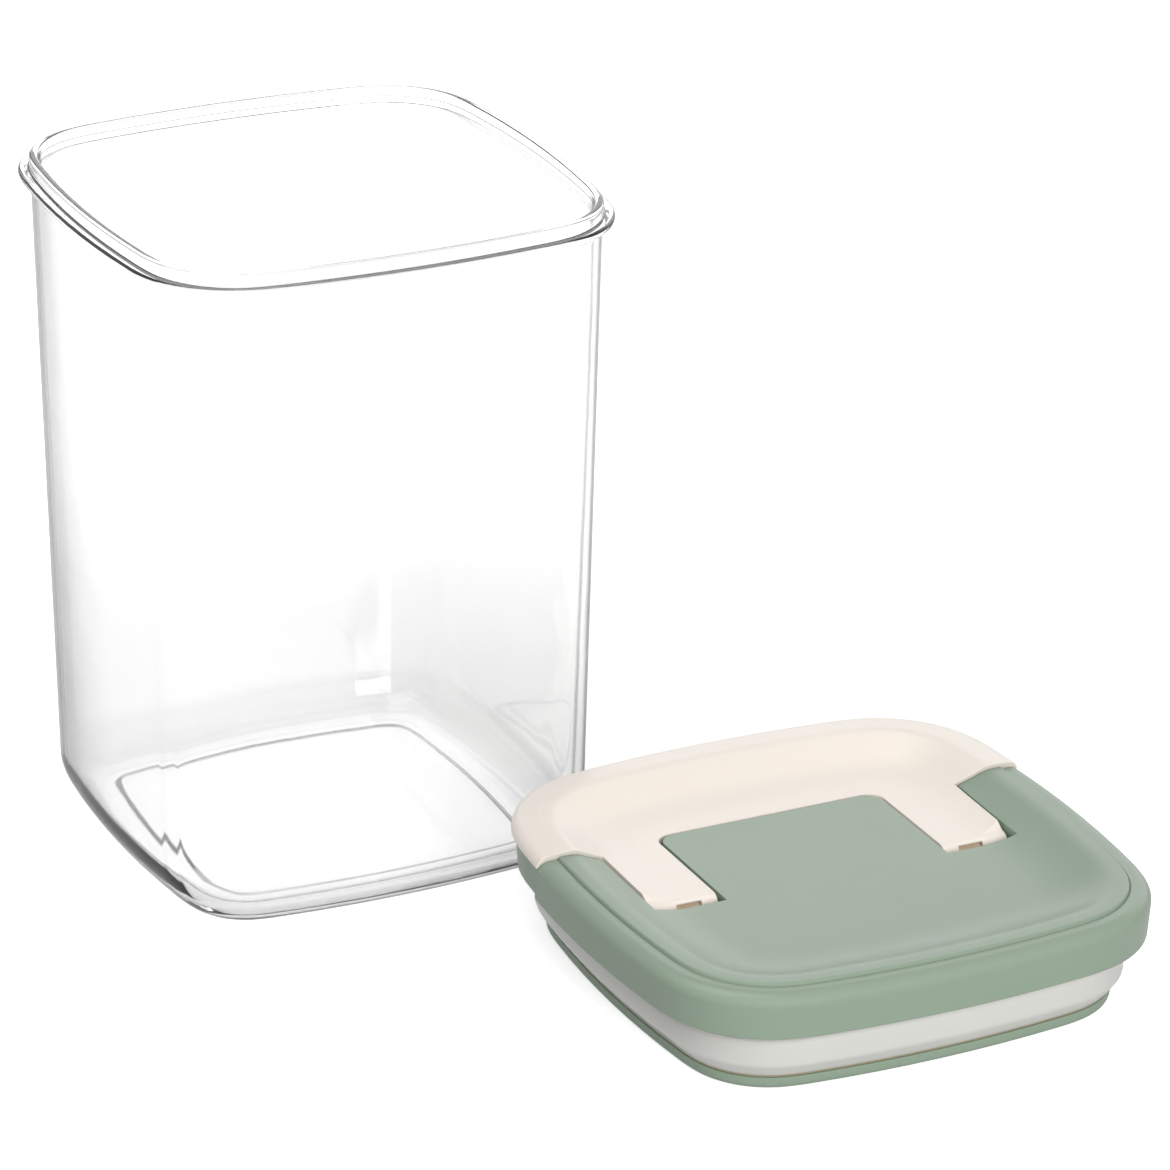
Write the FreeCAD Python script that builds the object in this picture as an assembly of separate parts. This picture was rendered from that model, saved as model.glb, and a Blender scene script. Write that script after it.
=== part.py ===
"""Clear square storage jar and its flip-lever lid, which stands beside it as in use.

The jar is one clear moulding: bowed sides, round corners, a ledge below a short
neck, and a rounded base on a narrow foot ring.  The lid is a green cover with a
dished top, a cream U-shaped lever let into it, two pins, two pull posts, a seal
carrier, a soft seal and a green lower plate.  Lowering the lever turns the cams at
the ends of its arms, the posts draw the plate up and the seal is squeezed outwards.

Millimetres.  The origin is the centre of the jar's foot, +Z is up.  The jar's sides
face along X and Y, and the lid stands on its lower plate in front of the jar.
"""
import FreeCAD, Part
import math
import os

from FreeCAD import Vector

# Outline family: every plan outline is an offset of the jar's ledge
LEDGE_HALF = 60.0
SIDE_RADIUS_SHARE = 4.77
CORNER_RADIUS_SHARE = 0.433
CORE_MARGIN = 2.0

# Jar
JAR_HEIGHT = 162.7
NECK_HEIGHT = 2.9
LEDGE_WIDTH = 2.5
LEDGE_THICKNESS = 1.8
LEDGE_OVERHANG = 2.8
LEDGE_GUSSET = 1.4
RIM_WALL = 2.2
RIM_CHAMFER = 0.6
MOUTH_DEPTH = 25.0
WALL_DRAFT = 3.2
BASE_WALL = 2.3
BASE_EDGE_RADIUS = 11.5
INNER_BEVEL = 6.0
FLOOR_THICKNESS = 3.6
FOOT_WIDTH = 2.4
FOOT_HEIGHT = 0.9

# Lid cover, with heights counted from the underside of the lower plate
COVER_OVERHANG = 3.3
COVER_HEIGHT = 27.0
COVER_SKIN = 2.0
SKIRT_HEIGHT = 10.85
SKIRT_CLEARANCE = 0.6
SHOULDER_RADIUS = 4.2
LAND_WIDTH = 4.65
CREASE_WIDTH = 1.3
CREASE_HEIGHT = 0.65
CREST_WIDTH = 3.4
CREST_RADIUS = 3.5
DISH_DEPTH = 4.1
DISH_SLOPE_SHARE = 0.16
DISH_TOE_RADIUS = 6.0
SHELF_SKIN = 1.8
RIB_WALL = 1.5
SCOOP_WIDTH_SHARE = 0.567
SCOOP_DEPTH = 1.1
SCOOP_HEIGHT = 6.0

# Flip lever
LEVER_THICKNESS = 2.2
LEVER_GAP = 0.3
LEVER_FRONT_SHARE = 0.367
HANDLE_FRONT_SHARE = 0.507
TONGUE_CORNER_RADIUS = 4.0
SIDE_GAP = 0.4
CUT_SLANT = 20.0
ARM_INNER_SHARE = 0.483
ARM_WIDTH_SHARE = 0.277
ARM_ROOT_SHARE = 0.45
ARM_DEPTH = 5.0
ARM_WALL = 1.8
OPEN_ANGLE = 90.0
COVER_RISE = 3.0
PIN_RADIUS = 1.25
PIN_DEPTH = 3.75
PIN_CHEEK_COVER = 1.2
NOSE_REACH = 2.9
HEEL_REACH = 4.6
CAM_CLEARANCE = 0.2
CAM_STEPS = 9
PIT_FRONT = 4.9
PIT_BACK = 7.9

# Pull posts
INNER_CHEEK_SHARE = 0.24
POST_WIDTH_SHARE = 0.35
POST_SIDE_GAP = 0.2
POST_HEAD_RADIUS = 2.4
POST_SHANK = 4.0
SLOT_CLEARANCE = 0.25
NOTCH_BACK = 1.3
PIN_RUNNING_CLEARANCE = 0.05
GUIDE_CLEARANCE = 0.3

# Lower plate, seal and seal carrier
MOUTH_CLEARANCE = 0.4
PLATE_RIM = 2.85
PLATE_WEB = 2.2
PLATE_CHAMFER = 0.8
SEAL_TOP_RISE = 0.75
SEAL_BULGE = 3.0
SEAL_WALL = 1.6
SEAL_FOOT_HEIGHT = 1.4
SEAL_FLAT_SHARE = 0.4
SEAL_SET_BACK = 0.3
GUIDE_SET_IN = 4.5
GUIDE_WALL = 1.4
GUIDE_DROP_SHARE = 0.776
TELESCOPE_GAP = 0.35
PLATE_GUIDE_GAP = 1.55
CARRIER_SEAT = 1.5
BOSS_WALL = 1.6
BOSS_HEIGHT_SHARE = 0.615
SOCKET_FLOOR = 1.2

# Where the lid stands
LID_TO_SIDE_SHARE = 1.26
LID_TO_FRONT_SHARE = 1.913

# One overrun for all cutting tools, and the bend below which a flat replaces an arc
OVERRUN = 2.0
SHALLOW_BEND = 30.0

# Derived outline geometry
LEDGE_SIDE_RADIUS = LEDGE_HALF * SIDE_RADIUS_SHARE
LEDGE_CORNER_RADIUS = LEDGE_HALF * CORNER_RADIUS_SHARE
CORE_HALF = LEDGE_HALF - LEDGE_CORNER_RADIUS + CORE_MARGIN
SIDE_CENTRE = LEDGE_HALF - LEDGE_SIDE_RADIUS
SPREAD = LEDGE_SIDE_RADIUS - LEDGE_CORNER_RADIUS
CORNER_CENTRE = (SIDE_CENTRE + math.sqrt(2 * SPREAD ** 2 - SIDE_CENTRE ** 2)) / 2
SIDE_TURN = math.degrees(math.atan2(CORNER_CENTRE, CORNER_CENTRE - SIDE_CENTRE))
QUARTER = 90.0

# Derived jar sizes
RIM_HALF = LEDGE_HALF - LEDGE_WIDTH
MOUTH_HALF = RIM_HALF - RIM_WALL
WALL_TOP_HALF = LEDGE_HALF - LEDGE_OVERHANG
BASE_HALF = WALL_TOP_HALF - WALL_DRAFT
LEDGE_TOP = JAR_HEIGHT - NECK_HEIGHT
LEDGE_BOTTOM = LEDGE_TOP - LEDGE_THICKNESS

# Derived lid place and sizes
LID_TO_SIDE = LEDGE_HALF * LID_TO_SIDE_SHARE
LID_TO_FRONT = LEDGE_HALF * LID_TO_FRONT_SHARE
DISH_SLOPE_WIDTH = LEDGE_HALF * DISH_SLOPE_SHARE
SCOOP_WIDTH = LEDGE_HALF * SCOOP_WIDTH_SHARE
SKIRT_HALF = LEDGE_HALF + COVER_OVERHANG
SKIRT_INNER_HALF = LEDGE_HALF + SKIRT_CLEARANCE
SKIRT_Z = COVER_HEIGHT - SKIRT_HEIGHT
CREASE_HALF = SKIRT_HALF - LAND_WIDTH
CREST_OUTER_HALF = CREASE_HALF - CREASE_WIDTH
CREST_INNER_HALF = CREST_OUTER_HALF - CREST_WIDTH
DISH_HALF = CREST_INNER_HALF - DISH_SLOPE_WIDTH
CREST_Z = COVER_HEIGHT + CREASE_HEIGHT
FLOOR_Z = COVER_HEIGHT - DISH_DEPTH
LAND_INNER_HALF = DISH_HALF + DISH_SLOPE_WIDTH * DISH_DEPTH / (CREST_Z - FLOOR_Z)
SHELF_DROP = LEVER_THICKNESS + LEVER_GAP
SHELF_UNDERSIDE = COVER_HEIGHT - SHELF_DROP - SHELF_SKIN
RIM_SEAT_Z = SKIRT_Z + LEDGE_THICKNESS + NECK_HEIGHT

# Derived lever, post and pin sizes
LEVER_FRONT = LEDGE_HALF * LEVER_FRONT_SHARE
HANDLE_FRONT = LEDGE_HALF * HANDLE_FRONT_SHARE
ARM_INNER = LEDGE_HALF * ARM_INNER_SHARE
ARM_WIDTH = LEDGE_HALF * ARM_WIDTH_SHARE
ARM_ROOT = LEDGE_HALF * ARM_ROOT_SHARE
INNER_CHEEK = ARM_WIDTH * INNER_CHEEK_SHARE
POST_WIDTH = ARM_WIDTH * POST_WIDTH_SHARE
PIN_Z = FLOOR_Z - PIN_DEPTH
CAM_REACH = NOSE_REACH + COVER_RISE
CAM_BASE_RADIUS = COVER_RISE / math.radians(OPEN_ANGLE)
ARM_UNDERSIDE = FLOOR_Z - ARM_DEPTH
CHANNEL_Z = ARM_UNDERSIDE - LEVER_GAP
PIT_Z = PIN_Z - CAM_REACH - CAM_CLEARANCE
TUB_UNDERSIDE = PIT_Z - COVER_SKIN
POCKET_INNER = ARM_INNER - SIDE_GAP
POCKET_WIDTH = ARM_WIDTH + 2 * SIDE_GAP
SLOT_WIDTH = POST_WIDTH + 2 * POST_SIDE_GAP
SLOT_RADIUS = POST_HEAD_RADIUS + SLOT_CLEARANCE
POST_CENTRE = ARM_INNER + INNER_CHEEK + SLOT_WIDTH / 2
TONGUE_BACK = HANDLE_FRONT - SIDE_GAP

# Derived plate, seal and carrier sizes
PLATE_HALF = MOUTH_HALF - MOUTH_CLEARANCE
SEAL_TOP = SKIRT_Z + SEAL_TOP_RISE
SEAL_HEIGHT = SEAL_TOP - PLATE_RIM
GUIDE_DROP = SEAL_HEIGHT * GUIDE_DROP_SHARE
CARRIER_GUIDE_HALF = PLATE_HALF - GUIDE_SET_IN
CARRIER_GUIDE_INNER = CARRIER_GUIDE_HALF - GUIDE_WALL
PLATE_GUIDE_HALF = CARRIER_GUIDE_INNER - TELESCOPE_GAP
PLATE_GUIDE_HEIGHT = TUB_UNDERSIDE - PLATE_GUIDE_GAP
BOSS_HEIGHT = TUB_UNDERSIDE * BOSS_HEIGHT_SHARE


def fuse(solids):
    """One solid from solids that overlap or share faces."""
    return solids[0].fuse(solids[1:]).removeSplitter()


def rounded_profile(corners):
    """Closed face in the XZ plane from corner points (half, height, corner radius).

    A shallow bend gets a flat in place of its arc.
    """
    points = [Vector(half, 0, height) for half, height, _ in corners]
    starts, middles, ends = [], [], []
    for i, (_, _, radius) in enumerate(corners):
        point = points[i]
        to_last = (points[i - 1] - point).normalize()
        to_next = (points[(i + 1) % len(points)] - point).normalize()
        half_angle = to_last.getAngle(to_next) / 2
        reach = radius / math.tan(half_angle)
        starts.append(point + to_last * reach)
        ends.append(point + to_next * reach)
        shallow = 2 * math.degrees(half_angle) > 2 * QUARTER - SHALLOW_BEND
        if radius and not shallow:
            inward = (to_last + to_next).normalize()
            middles.append(point + inward * (radius / math.sin(half_angle) - radius))
        else:
            middles.append(None)
    edges = []
    for i, (start, middle, end) in enumerate(zip(starts, middles, ends)):
        if middle:
            edges.append(Part.Arc(start, middle, end).toShape())
        elif start.distanceToPoint(end) > 0:
            edges.append(Part.makeLine(start, end))
        following = starts[(i + 1) % len(starts)]
        edges.append(Part.makeLine(end, following))
    return Part.Face(Part.Wire(edges))


def sweep_round(profile):
    """Profile carried round the outline family: four bowed sides and four corners."""
    up = Vector(0, 0, 1)
    side = profile.copy()
    side.translate(Vector(-SIDE_CENTRE, 0, 0))
    side.rotate(Vector(), up, -SIDE_TURN)
    side = side.revolve(Vector(), up, 2 * SIDE_TURN)
    side.translate(Vector(SIDE_CENTRE, 0, 0))
    corner = profile.copy()
    corner.translate(Vector(LEDGE_CORNER_RADIUS - LEDGE_HALF, 0, 0))
    corner.rotate(Vector(), up, SIDE_TURN)
    corner = corner.revolve(Vector(), up, QUARTER - 2 * SIDE_TURN)
    corner.translate(Vector(CORNER_CENTRE, CORNER_CENTRE, 0))
    pieces = []
    for quarter in range(4):
        for piece in (side, corner):
            turned = piece.copy()
            turned.rotate(Vector(), up, quarter * QUARTER)
            pieces.append(turned)
    return fuse(pieces)


def outline_face(half, height):
    """Face with the family's outline at this half width and height."""
    def arc(centre_x, centre_y, radius, angles):
        points = []
        for angle in angles:
            turn = math.radians(angle)
            points.append(Vector(centre_x + radius * math.cos(turn), centre_y + radius * math.sin(turn), height))
        return Part.Arc(*points).toShape()

    side = arc(SIDE_CENTRE, 0, half - SIDE_CENTRE, (-SIDE_TURN, 0, SIDE_TURN))
    corner_radius = half - LEDGE_HALF + LEDGE_CORNER_RADIUS
    corner = arc(CORNER_CENTRE, CORNER_CENTRE, corner_radius, (SIDE_TURN, QUARTER / 2, QUARTER - SIDE_TURN))
    edges = []
    for quarter in range(4):
        for edge in (side, corner):
            turned = edge.copy()
            turned.rotate(Vector(), Vector(0, 0, 1), quarter * QUARTER)
            edges.append(turned)
    return Part.Face(Part.Wire(edges))


def slab(half, low, high):
    """Solid of the family's outline between two heights."""
    return outline_face(half, low).extrude(Vector(0, 0, high - low))


def swept_solid(corners, low, high):
    """Ring of the profile, closed in the middle between two heights."""
    return fuse([sweep_round(rounded_profile(corners)), slab(CORE_HALF, low, high)])


def block(x_low, x_high, y_low, y_high, z_low, z_high):
    """Box between limits on the three axes."""
    size = (x_high - x_low, y_high - y_low, z_high - z_low)
    return Part.makeBox(*size, Vector(x_low, y_low, z_low))


def both_sides(solid):
    """The solid and its mirror image in the lid's middle plane."""
    return [solid, solid.mirror(Vector(), Vector(1, 0, 0))]


def to_lid_place(shape):
    """The shape moved from the lid's own middle to where the lid stands."""
    moved = shape.copy()
    moved.translate(Vector(LID_TO_SIDE, -LID_TO_FRONT, 0))
    return moved


def jar_body():
    """Clear jar: foot ring, rounded base, drafted walls, ledge and neck."""
    foot_half = BASE_HALF - BASE_EDGE_RADIUS
    recess_half = foot_half - FOOT_WIDTH
    inner_base_half = BASE_HALF - BASE_WALL
    corners = [
        (CORE_HALF, FOOT_HEIGHT, 0),
        (recess_half - FOOT_HEIGHT, FOOT_HEIGHT, 0),
        (recess_half, 0, 0),
        (BASE_HALF, 0, BASE_EDGE_RADIUS),
        (WALL_TOP_HALF, LEDGE_BOTTOM - LEDGE_GUSSET, 0),
        (WALL_TOP_HALF + LEDGE_GUSSET, LEDGE_BOTTOM, 0),
        (LEDGE_HALF, LEDGE_BOTTOM, 0),
        (LEDGE_HALF, LEDGE_TOP, 0),
        (RIM_HALF, LEDGE_TOP, 0),
        (RIM_HALF, JAR_HEIGHT - RIM_CHAMFER, 0),
        (RIM_HALF - RIM_CHAMFER, JAR_HEIGHT, 0),
        (MOUTH_HALF + RIM_CHAMFER, JAR_HEIGHT, 0),
        (MOUTH_HALF, JAR_HEIGHT - RIM_CHAMFER, 0),
        (MOUTH_HALF, JAR_HEIGHT - MOUTH_DEPTH, 0),
        (inner_base_half, FLOOR_THICKNESS + INNER_BEVEL, 0),
        (inner_base_half - INNER_BEVEL, FLOOR_THICKNESS, 0),
        (CORE_HALF, FLOOR_THICKNESS, 0),
    ]
    return swept_solid(corners, FOOT_HEIGHT, FLOOR_THICKNESS)


def lid_form(low):
    """Outer form of the whole closed lid top: skirt, shoulder, crease, crest and dish."""
    corners = [
        (CORE_HALF, low, 0),
        (SKIRT_HALF, low, 0),
        (SKIRT_HALF, COVER_HEIGHT, SHOULDER_RADIUS),
        (CREASE_HALF, COVER_HEIGHT, 0),
        (CREST_OUTER_HALF, CREST_Z, 0),
        (CREST_INNER_HALF, CREST_Z, CREST_RADIUS),
        (DISH_HALF, FLOOR_Z, DISH_TOE_RADIUS),
        (CORE_HALF, FLOOR_Z, 0),
    ]
    return swept_solid(corners, low, FLOOR_Z)


def lowered_form(half, drop, low):
    """Space under the lid top lowered by a drop, out to a half width, for hidden faces."""
    corners = [
        (CORE_HALF, low, 0),
        (half, low, 0),
        (half, COVER_HEIGHT - drop, 0),
        (LAND_INNER_HALF, COVER_HEIGHT - drop, 0),
        (DISH_HALF, FLOOR_Z - drop, 0),
        (CORE_HALF, FLOOR_Z - drop, 0),
    ]
    return swept_solid(corners, low, FLOOR_Z - drop)


def zone_in_front(cut_y, tongue_half, tongue_back, corner_radius, low):
    """Plan zone in front of the slanted cut, with the round-cornered tongue that runs back."""
    reach = SKIRT_HALF + OVERRUN
    top = CREST_Z + OVERRUN
    slant = (COVER_HEIGHT - low) * math.tan(math.radians(CUT_SLANT))
    rise = (top - COVER_HEIGHT) * math.tan(math.radians(CUT_SLANT))
    side_view = Part.makePolygon([
        Vector(-reach, -reach, low),
        Vector(-reach, cut_y + slant, low),
        Vector(-reach, cut_y - rise, top),
        Vector(-reach, -reach, top),
        Vector(-reach, -reach, low),
    ])
    front = Part.Face(side_view).extrude(Vector(2 * reach, 0, 0))
    tongue = block(-tongue_half, tongue_half, 0, tongue_back, low, top)
    upright = [edge for edge in tongue.Edges if edge.BoundBox.ZLength > OVERRUN]
    back_edges = [edge for edge in upright if edge.BoundBox.YMin > 0]
    return front.fuse(tongue.makeFillet(corner_radius, back_edges))


def arm_pockets(grow):
    """Channels for the arms and the deeper pits for their cams, grown by a skin."""
    inner = POCKET_INNER - grow
    outer = POCKET_INNER + POCKET_WIDTH + grow
    top = CREST_Z + OVERRUN
    channel = block(inner, outer, -PIT_FRONT - grow, ARM_ROOT + SIDE_GAP + grow, CHANNEL_Z - grow, top)
    pit = block(inner, outer, -PIT_FRONT - grow, PIT_BACK + grow, PIT_Z - grow, top)
    return both_sides(channel.fuse(pit))


def post_guides():
    """Holes through the pit floors that guide the pull posts."""
    half_x = POST_WIDTH / 2 + GUIDE_CLEARANCE
    half_y = POST_SHANK / 2 + GUIDE_CLEARANCE
    hole = block(POST_CENTRE - half_x, POST_CENTRE + half_x, -half_y, half_y,
                 TUB_UNDERSIDE - OVERRUN, PIT_Z + OVERRUN)
    return both_sides(hole)


def finger_scoop():
    """Shallow relief in the back of the skirt, under the lever's edge."""
    shallow = SCOOP_DEPTH
    radius = (SCOOP_WIDTH ** 2 / 4 + shallow ** 2) / (2 * shallow)
    middle = SKIRT_HALF - shallow + radius
    low = COVER_HEIGHT - SHELF_DROP - SCOOP_HEIGHT
    return Part.makeCylinder(radius, SCOOP_HEIGHT + OVERRUN, Vector(0, middle, low))


def lid_cover():
    """Green cover: dished top, shelf for the lever, arm pockets and skirt."""
    deep = TUB_UNDERSIDE
    below = deep - OVERRUN
    front = zone_in_front(LEVER_FRONT - SIDE_GAP, POCKET_INNER, TONGUE_BACK, TONGUE_CORNER_RADIUS, below)
    past = SKIRT_HALF + OVERRUN
    outer = lid_form(deep).common(front.fuse(lowered_form(past, SHELF_DROP, below)))

    skin_front = zone_in_front(LEVER_FRONT - SIDE_GAP - COVER_SKIN, POCKET_INNER - COVER_SKIN,
                               TONGUE_BACK - COVER_SKIN, TONGUE_CORNER_RADIUS - COVER_SKIN, below)
    hollow = lowered_form(SKIRT_INNER_HALF, COVER_SKIN, below)
    hollow = hollow.common(skin_front.fuse(lowered_form(past, SHELF_DROP + SHELF_SKIN, below)))
    shell = outer.cut([hollow, slab(past, below, SKIRT_Z)])

    rib_top = COVER_HEIGHT - COVER_SKIN / 2
    rib = slab(MOUTH_HALF + RIB_WALL, SHELF_UNDERSIDE, rib_top).cut(slab(MOUTH_HALF, SHELF_UNDERSIDE, rib_top))
    inside = [rib.common(front)]
    for tub in arm_pockets(COVER_SKIN):
        inside.append(tub.common(slab(CARRIER_GUIDE_INNER, deep, COVER_HEIGHT)))
    cover = shell.fuse([piece.common(outer) for piece in inside])
    cover = cover.cut(arm_pockets(0) + post_guides() + [finger_scoop()])
    return cover.removeSplitter()


def cam_outline():
    """Side view of one arm: flat top, round nose, cam and heel, as a closed face."""
    def about_pin(y, z):
        return Vector(0, y, PIN_Z + z)

    nose_centre = PIN_DEPTH - NOSE_REACH
    turn = math.radians(QUARTER / 2)
    nose_middle = about_pin(-NOSE_REACH * math.sin(turn), nose_centre + NOSE_REACH * math.cos(turn))
    cam = []
    for step in range(CAM_STEPS):
        angle = math.radians(OPEN_ANGLE) * (1 - step / (CAM_STEPS - 1))
        reach = CAM_REACH - CAM_BASE_RADIUS * angle
        along = -reach * math.sin(angle) + CAM_BASE_RADIUS * math.cos(angle)
        down = -reach * math.cos(angle) - CAM_BASE_RADIUS * math.sin(angle)
        cam.append(about_pin(along, down))
    curve = Part.BSplineCurve()
    curve.interpolate(cam)
    top_front = about_pin(0, PIN_DEPTH)
    nose_front = about_pin(-NOSE_REACH, nose_centre)
    heel = about_pin(HEEL_REACH, -CAM_REACH)
    knee = about_pin(HEEL_REACH, ARM_UNDERSIDE - PIN_Z)
    root_low = about_pin(ARM_ROOT, ARM_UNDERSIDE - PIN_Z)
    root_top = about_pin(ARM_ROOT, PIN_DEPTH)
    edges = [
        Part.Arc(top_front, nose_middle, nose_front).toShape(),
        Part.makeLine(nose_front, cam[0]),
        curve.toShape(),
        Part.makeLine(cam[-1], heel),
        Part.makeLine(heel, knee),
        Part.makeLine(knee, root_low),
        Part.makeLine(root_low, root_top),
        Part.makeLine(root_top, top_front),
    ]
    return Part.Face(Part.Wire(edges))


def lever_arm():
    """One arm: cored from below, with two cheeks, a post slot and a blind pin bore."""
    outer = ARM_INNER + ARM_WIDTH
    arm = cam_outline().extrude(Vector(ARM_WIDTH, 0, 0))
    arm.translate(Vector(ARM_INNER, 0, 0))
    core = block(ARM_INNER + ARM_WALL, outer - ARM_WALL, HEEL_REACH + ARM_WALL, ARM_ROOT - ARM_WALL,
                 ARM_UNDERSIDE - OVERRUN, FLOOR_Z - LEVER_THICKNESS)
    slot_low = PIN_Z - CAM_REACH - OVERRUN
    slot_inner = POST_CENTRE - SLOT_WIDTH / 2
    slot_outer = POST_CENTRE + SLOT_WIDTH / 2
    slot = block(slot_inner, slot_outer, -PIT_FRONT, SLOT_RADIUS, slot_low, PIN_Z + SLOT_RADIUS)
    notch = block(slot_inner, slot_outer, -PIT_FRONT, -NOTCH_BACK, slot_low, FLOOR_Z + OVERRUN)
    return arm.cut([core, slot, notch, hinge_pin(0)])


def flip_lever():
    """Cream U-shaped lever: handle that forms the back of the rim, and two arms with cams."""
    below = SKIRT_Z - OVERRUN
    shell = lid_form(SKIRT_Z).cut(lowered_form(SKIRT_HALF + OVERRUN, LEVER_THICKNESS, below))
    handle = shell.cut(zone_in_front(LEVER_FRONT, ARM_INNER, HANDLE_FRONT, TONGUE_CORNER_RADIUS, below))
    return handle.fuse(both_sides(lever_arm())).removeSplitter()


def hinge_pin(clearance):
    """Steel pin, or its bore grown by a clearance, through one arm's two cheeks."""
    length = ARM_WIDTH - 2 * PIN_CHEEK_COVER
    start = Vector(ARM_INNER + PIN_CHEEK_COVER, 0, PIN_Z)
    return Part.makeCylinder(PIN_RADIUS + clearance, length, start, Vector(1, 0, 0))


def pull_post():
    """Cream post: round head on the pin, shank through the cover into the plate's socket."""
    start = Vector(POST_CENTRE - POST_WIDTH / 2, 0, PIN_Z)
    head = Part.makeCylinder(POST_HEAD_RADIUS, POST_WIDTH, start, Vector(1, 0, 0))
    shank = block(POST_CENTRE - POST_WIDTH / 2, POST_CENTRE + POST_WIDTH / 2,
                  -POST_SHANK / 2, POST_SHANK / 2, SOCKET_FLOOR, PIN_Z)
    return head.fuse(shank).cut(hinge_pin(PIN_RUNNING_CLEARANCE)).removeSplitter()


def lower_plate():
    """Green plate: round-edged disc, guide wall for the carrier and a socket for each post."""
    wall_inner = PLATE_GUIDE_HALF - GUIDE_WALL
    corners = [
        (CORE_HALF, 0, 0),
        (PLATE_HALF - PLATE_CHAMFER, 0, 0),
        (PLATE_HALF, PLATE_CHAMFER, 0),
        (PLATE_HALF, PLATE_RIM, 0),
        (PLATE_GUIDE_HALF, PLATE_RIM, 0),
        (PLATE_GUIDE_HALF, PLATE_GUIDE_HEIGHT, 0),
        (wall_inner, PLATE_GUIDE_HEIGHT, 0),
        (wall_inner, PLATE_WEB, 0),
        (CORE_HALF, PLATE_WEB, 0),
    ]
    plate = swept_solid(corners, 0, PLATE_WEB)
    half_x = POST_WIDTH / 2 + BOSS_WALL
    half_y = POST_SHANK / 2 + BOSS_WALL
    boss = block(POST_CENTRE - half_x, POST_CENTRE + half_x, -half_y, half_y, 0, BOSS_HEIGHT)
    return plate.fuse(both_sides(boss)).cut(both_sides(pull_post())).removeSplitter()


def seal_ring():
    """Soft seal: two feet and a hollow bulge between them."""
    outer = PLATE_HALF - SEAL_SET_BACK
    inner = CARRIER_GUIDE_HALF + TELESCOPE_GAP
    bulge = outer + SEAL_BULGE
    low = PLATE_RIM
    middle = (PLATE_RIM + SEAL_TOP) / 2
    flat = SEAL_HEIGHT * SEAL_FLAT_SHARE / 2
    corners = [
        (inner, low, 0),
        (outer, low, 0),
        (bulge, middle - flat, 0),
        (bulge, middle + flat, 0),
        (outer, SEAL_TOP, 0),
        (inner, SEAL_TOP, 0),
        (inner, SEAL_TOP - SEAL_FOOT_HEIGHT, 0),
        (bulge - SEAL_WALL, middle, 0),
        (inner, low + SEAL_FOOT_HEIGHT, 0),
    ]
    return sweep_round(rounded_profile(corners))


def seal_carrier():
    """Frame under the cover: seats the jar's rim and the seal's top, and guides the plate."""
    wall_outer = PLATE_HALF - SEAL_SET_BACK
    corners = [
        (CARRIER_GUIDE_INNER, SEAL_TOP - GUIDE_DROP, 0),
        (CARRIER_GUIDE_HALF, SEAL_TOP - GUIDE_DROP, 0),
        (CARRIER_GUIDE_HALF, SEAL_TOP, 0),
        (wall_outer, SEAL_TOP, 0),
        (wall_outer, RIM_SEAT_Z, 0),
        (SKIRT_INNER_HALF, RIM_SEAT_Z, 0),
        (SKIRT_INNER_HALF, SHELF_UNDERSIDE, 0),
        (wall_outer - CARRIER_SEAT, SHELF_UNDERSIDE, 0),
        (wall_outer - CARRIER_SEAT, SEAL_TOP + CARRIER_SEAT, 0),
        (CARRIER_GUIDE_INNER, SEAL_TOP + CARRIER_SEAT, 0),
    ]
    return sweep_round(rounded_profile(corners))


def export(name, shape):
    """Write one node's solids to its file."""
    for solid in shape.Solids:
        if not solid.isValid():
            print(name, "is not valid")
    print(name, len(shape.Solids), "solid, volume", round(shape.Volume), "mm3")
    shape.exportStep("parts/" + name + ".step")


def main():
    os.makedirs("parts", exist_ok=True)
    export("jar_body", jar_body())
    lid_pieces = {
        "lid_cover": lid_cover(),
        "seal_carrier": seal_carrier(),
        "flip_lever": flip_lever(),
        "seal_ring": seal_ring(),
        "lower_plate": lower_plate(),
    }
    for side, pin, post in zip(("right", "left"), both_sides(hinge_pin(0)), both_sides(pull_post())):
        lid_pieces["hinge_pin_" + side] = pin
        lid_pieces["pull_post_" + side] = post
    for name, shape in lid_pieces.items():
        export(name, to_lid_place(shape))


main()
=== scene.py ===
import math

import bpy
from bpy.props import FloatProperty, FloatVectorProperty, IntProperty, PointerProperty
from mathutils import Matrix, Vector


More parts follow.
